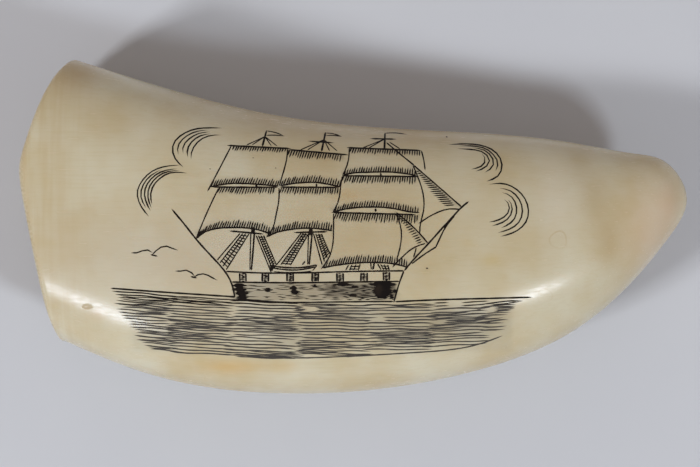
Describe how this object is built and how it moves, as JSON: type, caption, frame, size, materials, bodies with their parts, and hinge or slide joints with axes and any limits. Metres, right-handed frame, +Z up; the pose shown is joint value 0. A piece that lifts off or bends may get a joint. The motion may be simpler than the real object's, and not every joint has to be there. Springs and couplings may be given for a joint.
{
  "type": "scrimshaw whale tooth",
  "caption": "Polished, curved whale tooth engraved and inked with a sailing ship on a sea, open at the root and lying on its side.",
  "frame": {"origin": "middle of the footprint, on the surface that the tooth lies on", "axes": "+X along the tooth from the root to the tip, +Y towards the hollow side of its curve, +Z up through the engraved face"},
  "size_m": [0.14, 0.0699, 0.0406],
  "materials": {
    "ivory": "polished ivory with a soft gloss, and rough brown dentine in the cavity",
    "ink": "matt lampblack rubbed into the engraved lines"
  },
  "bodies": {
    "root": {"whale_tooth": "ivory"}
  },
  "joints": []
}
